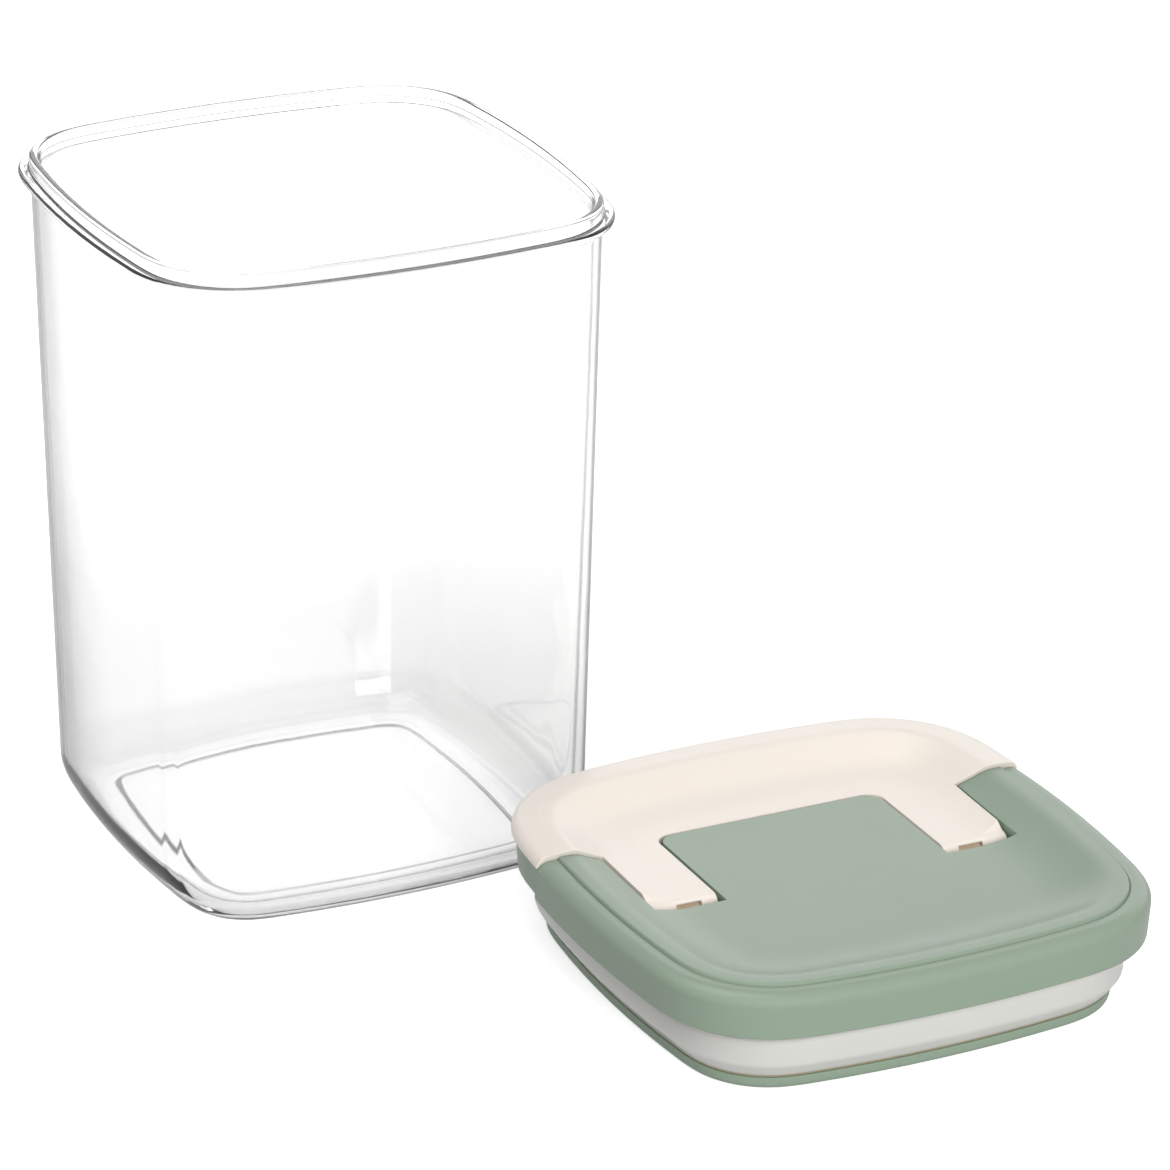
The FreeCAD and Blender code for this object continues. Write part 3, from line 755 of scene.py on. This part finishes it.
def lowered_form(name, half, drop, low):
    """Space under the lid top lowered by a drop."""
    return spun_form(name, [
        (CORE_HALF, low, 0),
        (half, low, 0),
        (half, COVER_Z - drop, 0),
        (UNDER_CREST, COVER_Z - drop, 0),
        (DISH_HALF, FLOOR_Z - drop, 0),
        (CORE_HALF, FLOOR_Z - drop, 0),
    ])


def side_prism(name, outline, x):
    """A closed solid with a side view of (y, z) points, between two limits along X."""
    start = LID_PLACE + Vector((x[0], 0, 0))
    prism = draw_line(name, [(start + Vector((0, y, z))) * MM for y, z in outline], True)
    bpy.ops.mesh.select_all(action="SELECT")
    bpy.ops.mesh.edge_face_add()
    bpy.ops.mesh.extrude_region_move(TRANSFORM_OT_translate={"value": ((x[1] - x[0]) * MM, 0, 0)})
    return close_up(prism)


def front_wedge(name, cut_y, low):
    """Everything in front of the slanted cut."""
    top = CREST_Z + 2 * OVERRUN
    past = SKIRT_HALF + 3 * OVERRUN
    slope = math.tan(math.radians(CUT_SLANT))
    outline = [(-past, low), (cut_y + (COVER_Z - low) * slope, low),
               (cut_y + (COVER_Z - top) * slope, top), (-past, top)]
    return side_prism(name, outline, (-past, past))


def lever_space(name, drop, cut_y):
    """Space behind the slanted cut and above the lid top lowered by a drop."""
    past = SKIRT_HALF + OVERRUN
    low = PIT_Z - 2 * OVERRUN
    space = box(name, (-past, past), (BEHIND_PIVOTS, past), (low, CREST_Z + OVERRUN))
    return combine(space, "DIFFERENCE",
                   lowered_form(name + " floor", past + OVERRUN, drop, low - OVERRUN),
                   front_wedge(name + " front", cut_y, low - OVERRUN))


def skirt_rind(name, cut_y):
    """The outermost layer of the skirt behind the cut, over which the lever stands proud."""
    past = SKIRT_HALF + OVERRUN
    low, high = SKIRT_Z - OVERRUN, CREST_Z + OVERRUN
    rind = box(name, (-past, past), (BEHIND_PIVOTS, past), (low, high))
    inner = spun_form(name + " inner", [
        (CORE_HALF, low - OVERRUN, 0),
        (skirt_half(low - OVERRUN) - SET_BACK, low - OVERRUN, 0),
        (skirt_half(high + OVERRUN) - SET_BACK, high + OVERRUN, 0),
        (CORE_HALF, high + OVERRUN, 0),
    ])
    return combine(rind, "DIFFERENCE", inner,
                   front_wedge(name + " front", cut_y + RIND_GAP, low - OVERRUN))


def tongue_block(name, half, back):
    """The part of the cover between the arms, with two round corners at its back."""
    high = CREST_Z + 3 * OVERRUN
    block = box(name, (-half, half), (TONGUE_FRONT, back), (PIT_Z - 3 * OVERRUN, high))
    work_on(block)
    mesh = block.data
    clear_selection(mesh)
    edge_y = (LID_PLACE.y + back) * MM
    for edge in mesh.edges:
        first, second = (mesh.vertices[i].co for i in edge.vertices)
        edge.select = abs(first.z - second.z) > MM and abs(first.y - edge_y) < MM / 10
    edit_by("EDGE")
    bpy.ops.mesh.bevel(offset=TONGUE_ROUND * MM, segments=12, affect="EDGES")
    object_mode()
    return block


def scoop_cylinder():
    """Cutter for the shallow relief in the back of the skirt."""
    width = LEDGE_HALF * SCOOP_SHARE
    radius = (width ** 2 / 4 + SCOOP_DEPTH ** 2) / (2 * SCOOP_DEPTH)
    middle = LID_PLACE + Vector((0, SKIRT_HALF - SET_BACK - SCOOP_DEPTH + radius,
                                 COVER_Z - SHELF_DROP - SKIN))
    object_mode()
    bpy.ops.mesh.primitive_cylinder_add(vertices=240, radius=radius * MM, depth=SCOOP_HEIGHT * MM,
                                        location=middle * MM)
    return settle(bpy.context.object, "scoop")


def both(maker):
    """The right and left one of a tool: the maker is given the side's sign."""
    return [maker(1), maker(-1)]


def span(side, inner, outer):
    """Limits along X on one side of the lid's middle."""
    return (inner, outer) if side > 0 else (-outer, -inner)


def across_post(side, half):
    """Limits along X that lie a half width to each side of a post's middle."""
    return span(side, POST_CENTRE - half, POST_CENTRE + half)


def arm_outline():
    """Side view of an arm: round nose, cam and heel, with its top high for the form to cut."""
    top = COVER_Z + OVERRUN / 2
    points = [(ARM_START_SLOPE * (top - FLOOR_Z), top), (0, PIN_Z + NOSE_RISE + NOSE_RADIUS)]
    for step in range(1, NOSE_STEPS + 1):
        turn = math.radians(QUARTER * step / NOSE_STEPS)
        points.append((-NOSE_RADIUS * math.sin(turn),
                       PIN_Z + NOSE_RISE + NOSE_RADIUS * math.cos(turn)))
    base = CAM_LIFT / math.radians(QUARTER)
    for step in range(CAM_STEPS + 1):
        angle = math.radians(QUARTER) * (1 - step / CAM_STEPS)
        reach = CAM_REACH - base * angle
        points.append((-reach * math.sin(angle) + base * math.cos(angle),
                       PIN_Z - reach * math.cos(angle) - base * math.sin(angle)))
    heel = [(HEEL_Y, PIN_Z - CAM_REACH), (HEEL_Y, ARM_UNDERSIDE)]
    return points + heel + [(ARM_ROOT, ARM_UNDERSIDE), (ARM_ROOT, top)]


def slot_outline():
    """Side view of the slot for a post, with the notch through the arm's nose."""
    (front, back), (low, roof) = SLOT_Y, SLOT_Z
    return [(front, low), (back, low), (back, roof), (NOTCH_BACK, roof),
            (NOTCH_BACK, NOTCH_TOP), (front, NOTCH_TOP)]


def pocket_outline():
    """Side view of an arm's pocket: channel and the deeper pit of the cam."""
    high = COVER_Z + OVERRUN
    return [(POCKET_FRONT, PIT_Z), (PIT_BACK, PIT_Z), (PIT_BACK, CHANNEL_Z),
            (POCKET_BACK, CHANNEL_Z), (POCKET_BACK, high), (POCKET_FRONT, high)]


def tub_outline():
    """Side view of the skin round a pocket, up into the cover's top skin."""
    low = PIT_Z - SKIN
    return [(TUB_FRONT, low), (TUB_PIT_BACK, low), (TUB_PIT_BACK, TUB_Z),
            (TUB_BACK, TUB_Z), (TUB_BACK, TUB_TOP), (TUB_FRONT, TUB_TOP)]


# Operators

class JAR_OT_studio(bpy.types.Operator):
    """Make the pale floor, the soft lamps, the world and the camera"""
    bl_idname = "storage_jar.studio"
    bl_label = "Studio"

    def execute(self, context):
        light = context.scene.studio_light
        self.make_floor(light)
        self.make_world(context.scene, light)
        for name, place, size, setting, mirrored in LAMPS:
            self.make_lamp(name, place, size, getattr(light, setting), mirrored)
        self.make_camera(context.scene)
        context.scene.view_settings.view_transform = "Standard"
        return {"FINISHED"}

    def make_floor(self, light):
        """A pale floor, lifted for the rays that show it"""
        object_mode()
        bpy.ops.mesh.primitive_plane_add(size=FLOOR_SIZE, location=(0, 0, 0))
        floor = bpy.context.object
        floor.name = "floor"
        material = bpy.data.materials.new("pale floor")
        material.use_nodes = True
        tree = material.node_tree
        tree.nodes.clear()
        path = node(tree, "ShaderNodeLightPath", "Rays", (-700, -100))
        coordinates = node(tree, "ShaderNodeTexCoord", "Coordinates", (-1200, -500))
        distance = node(tree, "ShaderNodeVectorMath", "Distance", (-1000, -500),
                        {0: coordinates.outputs["Object"]}, operation="LENGTH")
        lifts = (("Camera", light.floor_lift, FAR_FLOOR_LIFT),
                 ("Glossy", light.gloss_lift, FAR_GLOSS_LIFT),
                 ("Transmission", light.glass_lift, light.glass_lift + FAR_GLASS_GAIN))
        summed = 0.0
        for row, (rays, near_lift, far_lift) in enumerate(lifts):
            away = node(tree, "ShaderNodeMapRange", rays + " lift further off",
                        (-700, -400 - 300 * row),
                        {"Value": distance.outputs["Value"], "From Min": LIFT_START,
                         "From Max": LIFT_END, "To Min": near_lift, "To Max": far_lift},
                        interpolation_type="SMOOTHSTEP")
            summed = maths(tree, "MULTIPLY_ADD", rays + " lift", (-400, -200 - 200 * row),
                           path.outputs["Is " + rays + " Ray"], away.outputs["Result"], summed)
        coat = node(tree, "ShaderNodeBsdfDiffuse", "Pale paint", (0, 100), {"Color": PALE_PAINT})
        lift = node(tree, "ShaderNodeEmission", "Lift", (0, -100), {"Strength": summed})
        total = node(tree, "ShaderNodeAddShader", "Paint and lift", (300, 0),
                     {0: coat.outputs["BSDF"], 1: lift.outputs["Emission"]})
        node(tree, "ShaderNodeOutputMaterial", "Output", (600, 0),
             {"Surface": total.outputs["Shader"]})
        floor.data.materials.append(material)

    def make_world(self, scene, light):
        """Faint light from all round that is seen as white"""
        world = bpy.data.worlds.new("studio")
        scene.world = world
        world.use_nodes = True
        tree = world.node_tree
        tree.nodes.clear()
        rays = node(tree, "ShaderNodeLightPath", "Rays", (-600, 0)).outputs
        direct = maths(tree, "MAXIMUM", "Camera or glossy", (-350, 0),
                       rays["Is Camera Ray"], rays["Is Glossy Ray"])
        seen = maths(tree, "MAXIMUM", "Or through glass", (-180, 0),
                     direct, rays["Is Transmission Ray"])
        first = maths(tree, "LESS_THAN", "Before any soft bounce", (-180, -200),
                      rays["Diffuse Depth"], 0.5)
        straight = maths(tree, "MULTIPLY", "Seen straight", (60, -100), seen, first)
        around = node(tree, "ShaderNodeBackground", "Light from all round", (0, 100),
                      {"Color": WHITE, "Strength": light.ambient})
        white = node(tree, "ShaderNodeBackground", "White as seen", (0, -100), {"Color": WHITE})
        mix = node(tree, "ShaderNodeMixShader", "Seen or lighting", (300, 0),
                   {"Fac": straight, 1: around.outputs["Background"],
                    2: white.outputs["Background"]})
        node(tree, "ShaderNodeOutputWorld", "Output", (600, 0), {"Surface": mix.outputs["Shader"]})

    def make_lamp(self, name, place, size, power, mirrored):
        """A large soft lamp aimed at the jar and its lid"""
        object_mode()
        bpy.ops.object.light_add(type="AREA", location=place)
        lamp = bpy.context.object
        lamp.name = name
        lamp.data.shape = "RECTANGLE"
        lamp.data.size, lamp.data.size_y = size
        lamp.data.energy = power
        lamp.visible_glossy = mirrored
        aim = Vector(LAMP_AIM) - Vector(place)
        lamp.rotation_euler = aim.to_track_quat("-Z", "Y").to_euler()

    def make_camera(self, scene):
        """The camera at the photograph's place"""
        object_mode()
        bpy.ops.object.camera_add()
        camera = bpy.context.object
        camera.name = "photograph"
        camera.data.lens = CAMERA_LENS
        camera.data.clip_end = CAMERA_REACH
        forward = Vector(CAMERA_VIEW).normalized()
        level = forward.cross(Vector((0, 0, 1))).normalized()
        above = level.cross(forward)
        roll = math.radians(CAMERA_ROLL)
        right = level * math.cos(roll) + above * math.sin(roll)
        up = above * math.cos(roll) - level * math.sin(roll)
        turned = Matrix((right, up, -forward)).transposed().to_4x4()
        camera.matrix_world = Matrix.Translation(CAMERA_PLACE) @ turned
        scene.camera = camera


class JAR_OT_finishes(bpy.types.Operator):
    """Make the plastics, the seal's rubber and the steel"""
    bl_idname = "storage_jar.finishes"
    bl_label = "Finishes"

    def execute(self, context):
        finishes = context.scene.jar_finishes
        group = moulded_surface_group()
        clear_material("clear plastic", finishes.clear, finishes.clear_grazing_shade)
        # A darker copy of the clear plastic, painted shade for the step round the recess
        clear_material("clear plastic step", finishes.clear_step_shade, finishes.clear_grazing_shade)
        moulded_material("green plastic", finishes.green, group, roughness=0.36, grain_depth=0.4,
                         ior=1.48)
        moulded_material("cream plastic", finishes.cream, group, roughness=0.34, grain_depth=0.3,
                         clouding=0.02, ior=1.48)
        moulded_material("carrier plastic", finishes.carrier, group, roughness=0.4, grain_depth=0.3)
        # Painted shade: the posts' cream darkened to tan
        moulded_material("post plastic", finishes.post, group, roughness=0.4, grain_depth=0.3)
        seal_material("milky seal", finishes.seal, group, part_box("seal_ring")[0][2])
        moulded_material("pin steel", finishes.steel, group, roughness=0.28, grain_depth=0.4,
                         clouding=0.08, grain_scale=5200.0, metallic=1.0)
        return {"FINISHED"}


class JAR_OT_jar(bpy.types.Operator):
    """Spin the clear jar from its profile"""
    bl_idname = "storage_jar.jar"
    bl_label = "Jar"

    def execute(self, context):
        sizes = context.scene.jar_sizes
        rim = sizes.rim_round / MM
        ledge = sizes.ledge_round / MM
        jar = spun_form("jar_clear_body", [
            (CORE_HALF, RECESS_Z, 0),
            (RECESS_HALF, RECESS_Z, 0.7),
            (FOOT_INNER, 0, 0.7),
            (FOOT_HALF, 0, 11.5),
            (WALL_TOP_HALF, WALL_TOP_Z, 1.5),
            (GUSSET_HALF, LEDGE_LOW, 0.4),
            (LEDGE_HALF, LEDGE_LOW, ledge),
            (LEDGE_HALF, LEDGE_HIGH, ledge),
            (NECK_HALF, LEDGE_HIGH, 0.5),
            (NECK_HALF, JAR_HIGH.z, rim),
            (MOUTH_HALF, JAR_HIGH.z, rim),
            (MOUTH_HALF, MOUTH_FOOT_Z, 0),
            (INSIDE_HALF, INSIDE_Z, sizes.inner_base_round / MM),
            (CORE_HALF, INSIDE_Z, 0),
        ], JAR_PLACE)
        finish_surface(jar)
        dress(jar, "clear plastic", "clear_plastic", "jar", "jar_body")
        self.paint_step_shade(jar)
        return {"FINISHED"}

    def paint_step_shade(self, jar):
        """Give the step round the recess the darker plastic: painted shade along the step"""
        jar.data.materials.append(bpy.data.materials["clear plastic step"])
        for face in jar.data.polygons:
            outwards = face.normal.x * face.center.x + face.normal.y * face.center.y
            if outwards < -0.2 * face.center.xy.length and face.center.z < RECESS_Z * MM:
                face.material_index = 1


class JAR_OT_cover(bpy.types.Operator):
    """Form the green cover: dished top, shelf for the lever, pockets and skirt"""
    bl_idname = "storage_jar.cover"
    bl_label = "Cover"

    def execute(self, context):
        sizes = context.scene.jar_sizes
        inner, outer = ARM_INNER - SEAM, ARM_OUTER + SEAM
        cut_y = LEVER_FRONT - SEAM
        cover = cover_form("cover_moulding", sizes.shoulder_round / MM)
        hollow = lowered_form("hollow", HOLLOW_HALF, SKIN, SKIRT_Z - OVERRUN)
        combine(hollow, "DIFFERENCE", lever_space("shelf", SHELF_DROP + SHELF_SKIN, cut_y - SKIN))
        combine(cover, "DIFFERENCE", hollow)
        combine(cover, "UNION", *both(lambda side: side_prism(
            "tub", tub_outline(), span(side, inner - SKIN, outer + TUB_SIDE))))
        cuts = lever_space("lever space", SHELF_DROP, cut_y)
        combine(cuts, "UNION", side_prism("pockets", pocket_outline(), (-outer, outer)))
        combine(cuts, "DIFFERENCE", tongue_block("tongue", inner, HANDLE_FRONT - SEAM))
        passages = both(lambda side: box("passage", across_post(side, PASSAGE_HALF),
                                         PASSAGE_Y, PASSAGE_Z))
        combine(cover, "DIFFERENCE", cuts, *passages, skirt_rind("rind", cut_y), scoop_cylinder())
        soften(cover, sizes.seam_round)
        finish_surface(cover)
        dress(cover, "green plastic", "green_plastic", "cover", "lid_cover")
        return {"FINISHED"}


class JAR_OT_lever(bpy.types.Operator):
    """Form the cream lever: handle, two arms and their cams"""
    bl_idname = "storage_jar.lever"
    bl_label = "Lever"

    def execute(self, context):
        sizes = context.scene.jar_sizes
        lever = lever_space("lever_moulding", LEVER_THICKNESS, LEVER_FRONT)
        combine(lever, "UNION", *both(lambda side: side_prism(
            "arm", arm_outline(), span(side, ARM_INNER - OVERRUN, ARM_OUTER))))
        combine(lever, "INTERSECT", lever_form("lever top", sizes.shoulder_round / MM))
        combine(lever, "DIFFERENCE", tongue_block("tongue", ARM_INNER, HANDLE_FRONT))
        for side in (1, -1):
            core_x = span(side, ARM_INNER + CORE_WALL, ARM_OUTER - CORE_WALL)
            bore_x = span(side, ARM_INNER + PIN_COVERED, ARM_OUTER - PIN_COVERED)
            combine(lever, "DIFFERENCE",
                    box("core", core_x, CORE_Y, CORE_Z),
                    side_prism("slot", slot_outline(), across_post(side, SLOT_HALF)),
                    round_bar("bore", PIN_RADIUS, bore_x))
        soften(lever, sizes.lip_round)
        finish_surface(lever)
        dress(lever, "cream plastic", "cream_plastic", "lever", "flip_lever")
        return {"FINISHED"}


class JAR_OT_plate(bpy.types.Operator):
    """Spin the lower plate and add the sockets of the posts"""
    bl_idname = "storage_jar.plate"
    bl_label = "Lower plate"

    def execute(self, context):
        plate = spun_form("plate_moulding", [
            (CORE_HALF, 0, 0),
            (PLATE_HALF, 0, 1.4),
            (PLATE_HALF, PLATE_EDGE_Z, 0.3),
            (GUIDE_OUTER, PLATE_EDGE_Z, 0),
            (GUIDE_OUTER, GUIDE_Z, 0.3),
            (GUIDE_INNER, GUIDE_Z, 0.3),
            (GUIDE_INNER, PLATE_FLOOR_Z, 0),
            (CORE_HALF, PLATE_FLOOR_Z, 0),
        ])
        combine(plate, "UNION", *both(lambda side: box(
            "socket", across_post(side, POST_WIDTH / 2 + SOCKET_WALL), SOCKET_Y, SOCKET_Z)))
        combine(plate, "DIFFERENCE", *both(lambda side: box(
            "hole", across_post(side, POST_WIDTH / 2), POST_Y, (POST_FOOT_Z, SOCKET_OPEN_Z))))
        finish_surface(plate)
        dress(plate, "green plastic", "green_plastic", "lid_base", "lower_plate")
        return {"FINISHED"}


class JAR_OT_carrier(bpy.types.Operator):
    """Spin the frame that holds the seal under the cover"""
    bl_idname = "storage_jar.carrier"
    bl_label = "Seal carrier"

    def execute(self, context):
        carrier = spun_form("carrier_moulding", [
            (CARRIER_INNER, CARRIER_LOW, 0.3),
            (CARRIER_SKIRT, CARRIER_LOW, 0.3),
            (CARRIER_SKIRT, SEAL_SEAT_Z, 0),
            (SEAL_SEAT, SEAL_SEAT_Z, 0),
            (SEAL_SEAT, RIM_SEAT_Z, 0.3),
            (HOLLOW_HALF, RIM_SEAT_Z, 0),
            (HOLLOW_HALF, CARRIER_HIGH, 0),
            (CARRIER_CLIP, CARRIER_HIGH, 0),
            (CARRIER_CLIP, CARRIER_SHELF_Z, 0),
            (CARRIER_INNER, CARRIER_SHELF_Z, 0),
        ], ring=True)
        finish_surface(carrier)
        dress(carrier, "carrier plastic", "carrier_plastic", "cover", "seal_carrier")
        return {"FINISHED"}


class JAR_OT_seal(bpy.types.Operator):
    """Spin the soft seal, which stretches between the plate and the cover"""
    bl_idname = "storage_jar.seal"
    bl_label = "Seal"

    def execute(self, context):
        low, high = box_mm("seal_ring")
        seal = spun_form("seal_bulge", [
            (SEAL_INNER, low.z, 0.3),
            (SEAL_SEAT, low.z, 0.6),
            (SEAL_BULGE, SEAL_BULGE_Z[0], 2.2),
            (SEAL_BULGE, SEAL_BULGE_Z[1], 2.2),
            (SEAL_SEAT, high.z, 0.6),
            (SEAL_INNER, high.z, 0.3),
            (SEAL_INNER, high.z - SEAL_LIP, 0.5),
            (*SEAL_HOLLOW, 1.0),
            (SEAL_INNER, low.z + SEAL_LIP, 0.5),
        ], ring=True)
        finish_surface(seal)
        paint(seal, "milky seal")
        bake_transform(seal)
        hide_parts("seal_ring")
        return {"FINISHED"}


class JAR_OT_posts(bpy.types.Operator):
    """Model one pull post, copy it to the other side and give the pins their steel"""
    bl_idname = "storage_jar.posts"
    bl_label = "Pull posts and pins"

    def execute(self, context):
        x = across_post(1, POST_WIDTH / 2)
        post = box("post_right", x, POST_Y, (POST_FOOT_Z, PIN_Z))
        combine(post, "UNION", round_bar("head", POST_HEAD, x, steps=48))
        combine(post, "DIFFERENCE", round_bar("bore", PIN_RADIUS + PIN_PLAY, (x[0] - 1, x[1] + 1)))
        finish_surface(post)
        work_on(post)
        bpy.ops.object.duplicate()
        twin = bpy.context.object
        bpy.ops.transform.translate(value=(-2 * POST_CENTRE * MM, 0, 0))
        settle(twin, "post_left")
        # The posts take the tan copy of the cream, painted shade
        for name, piece in (("right", post), ("left", twin)):
            dress(piece, "post plastic", "cream_plastic", "lid_base", "pull_post_" + name)
            paint(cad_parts["hinge_pin_" + name], "pin steel")
        return {"FINISHED"}


class JAR_PT_panel(bpy.types.Panel):
    """Buttons and sizes of the storage jar in the 3D view's sidebar"""
    bl_label = "Storage Jar"
    bl_idname = "JAR_PT_panel"
    bl_space_type = "VIEW_3D"
    bl_region_type = "UI"
    bl_category = "Storage Jar"

    def draw(self, context):
        layout = self.layout
        for settings, _ in SETTINGS:
            column = layout.column(align=True)
            group = getattr(context.scene, settings)
            for name in group.bl_rna.properties.keys():
                if name not in ("rna_type", "name"):
                    column.prop(group, name)
        for operator in OPERATORS:
            layout.operator(operator.bl_idname)


OPERATORS = (JAR_OT_studio, JAR_OT_finishes, JAR_OT_jar, JAR_OT_plate, JAR_OT_carrier, JAR_OT_seal,
             JAR_OT_posts, JAR_OT_cover, JAR_OT_lever)
SETTINGS = (("jar_sizes", JarSizes), ("jar_finishes", JarFinishes), ("studio_light", StudioLight))


def register():
    """Make the settings, the operators and the panel known to Blender."""
    for name, group in SETTINGS:
        bpy.utils.register_class(group)
        setattr(bpy.types.Scene, name, PointerProperty(type=group))
    for operator in OPERATORS:
        bpy.utils.register_class(operator)
    bpy.utils.register_class(JAR_PT_panel)


def unregister():
    """Take back what register made known."""
    bpy.utils.unregister_class(JAR_PT_panel)
    for operator in reversed(OPERATORS):
        bpy.utils.unregister_class(operator)
    for name, group in reversed(SETTINGS):
        delattr(bpy.types.Scene, name)
        bpy.utils.unregister_class(group)


def main():
    """Build everything in order."""
    register()
    bpy.ops.storage_jar.studio()
    bpy.ops.storage_jar.finishes()
    bpy.ops.storage_jar.jar()
    bpy.ops.storage_jar.plate()
    bpy.ops.storage_jar.carrier()
    bpy.ops.storage_jar.seal()
    bpy.ops.storage_jar.posts()
    bpy.ops.storage_jar.cover()
    bpy.ops.storage_jar.lever()


if __name__ == "__main__":
    main()
